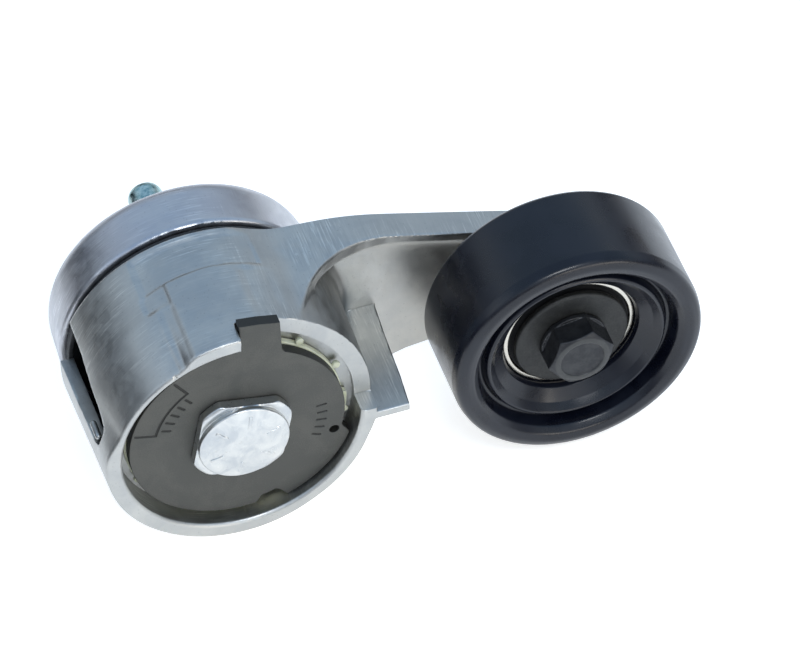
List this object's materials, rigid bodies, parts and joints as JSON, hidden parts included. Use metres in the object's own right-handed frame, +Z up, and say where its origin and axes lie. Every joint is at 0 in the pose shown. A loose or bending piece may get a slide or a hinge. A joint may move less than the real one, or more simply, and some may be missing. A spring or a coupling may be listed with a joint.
{
  "type": "automatic belt tensioner with idler pulley",
  "caption": "Spring-loaded belt tensioner: round cast housing on a central mounting bolt, a swinging cast arm and a smooth idler pulley on a ball bearing.",
  "frame": {"origin": "centre of the flat mounting pad at the back, on the pivot axis", "axes": "+Y along the pivot axis out of the mounting face, +X from the pivot along the arm to the pulley, +Z up"},
  "size_m": [0.1806, 0.0946, 0.0841],
  "materials": {
    "base_housing": "die cast, light tumble marks",
    "locating_pin": "zinc plated",
    "pivot_tube": "ground",
    "cap_plate": "dark phosphate, matte",
    "mounting_bolt": "bright zinc plate",
    "rear_wear_ring": "moulded",
    "torsion_spring": "oiled spring steel",
    "damping_shoe": "moulded",
    "damper_spring": "rolled strip",
    "arm_housing": "die cast, linished edges",
    "thrust_washer": "natural nylon",
    "pivot_bushing": "filled polymer",
    "rear_spacer": "turned",
    "dust_shield_rear": "pressed sheet",
    "bearing_inner_race": "ground",
    "dust_cap_front": "satin black",
    "pulley_bolt": "black oxide",
    "pulley": "gloss black coat",
    "bearing_outer_race": "ground and polished",
    "bearing_seal": "moulded",
    "bearing_cage": "pressed",
    "ball": "polished"
  },
  "bodies": {
    "base": {"base_housing": "base_housing", "locating_pin": "locating_pin", "pivot_tube": "pivot_tube", "cap_plate": "cap_plate", "mounting_bolt": "mounting_bolt", "rear_wear_ring": "rear_wear_ring", "torsion_spring": "torsion_spring", "damping_shoe": "damping_shoe", "damper_spring": "damper_spring"},
    "arm": {"arm_housing": "arm_housing", "thrust_washer": "thrust_washer", "pivot_bushing_front": "pivot_bushing", "pivot_bushing_rear": "pivot_bushing", "rear_spacer": "rear_spacer", "dust_shield_rear": "dust_shield_rear", "bearing_inner_race": "bearing_inner_race", "dust_cap_front": "dust_cap_front", "pulley_bolt": "pulley_bolt"},
    "wheel": {"pulley": "pulley", "bearing_outer_race": "bearing_outer_race", "bearing_seal_front": "bearing_seal", "bearing_seal_rear": "bearing_seal"},
    "cage": {"bearing_cage": "bearing_cage", "ball_1": "ball", "ball_2": "ball", "ball_3": "ball", "ball_4": "ball", "ball_5": "ball", "ball_6": "ball", "ball_7": "ball", "ball_8": "ball"}
  },
  "joints": [
    {"name": "arm_pivot", "type": "hinge", "parent": "base", "child": "arm", "pos_m": [0, -0.034, 0], "axis": [0, -1, 0], "range_deg": [0, 68], "stiffness_Nm_per_rad": 20, "springref_deg": -34.38},
    {"name": "pulley_spin", "type": "hinge", "parent": "arm", "child": "wheel", "pos_m": [0.101, -0.0547, 0], "axis": [0, -1, 0], "continuous": true},
    {"name": "cage_spin", "type": "hinge", "parent": "arm", "child": "cage", "pos_m": [0.101, -0.0547, 0], "axis": [0, -1, 0], "continuous": true}
  ],
  "couplings": [
    {"joint": "cage_spin", "follows": "pulley_spin", "ratio": 0.3818}
  ]
}
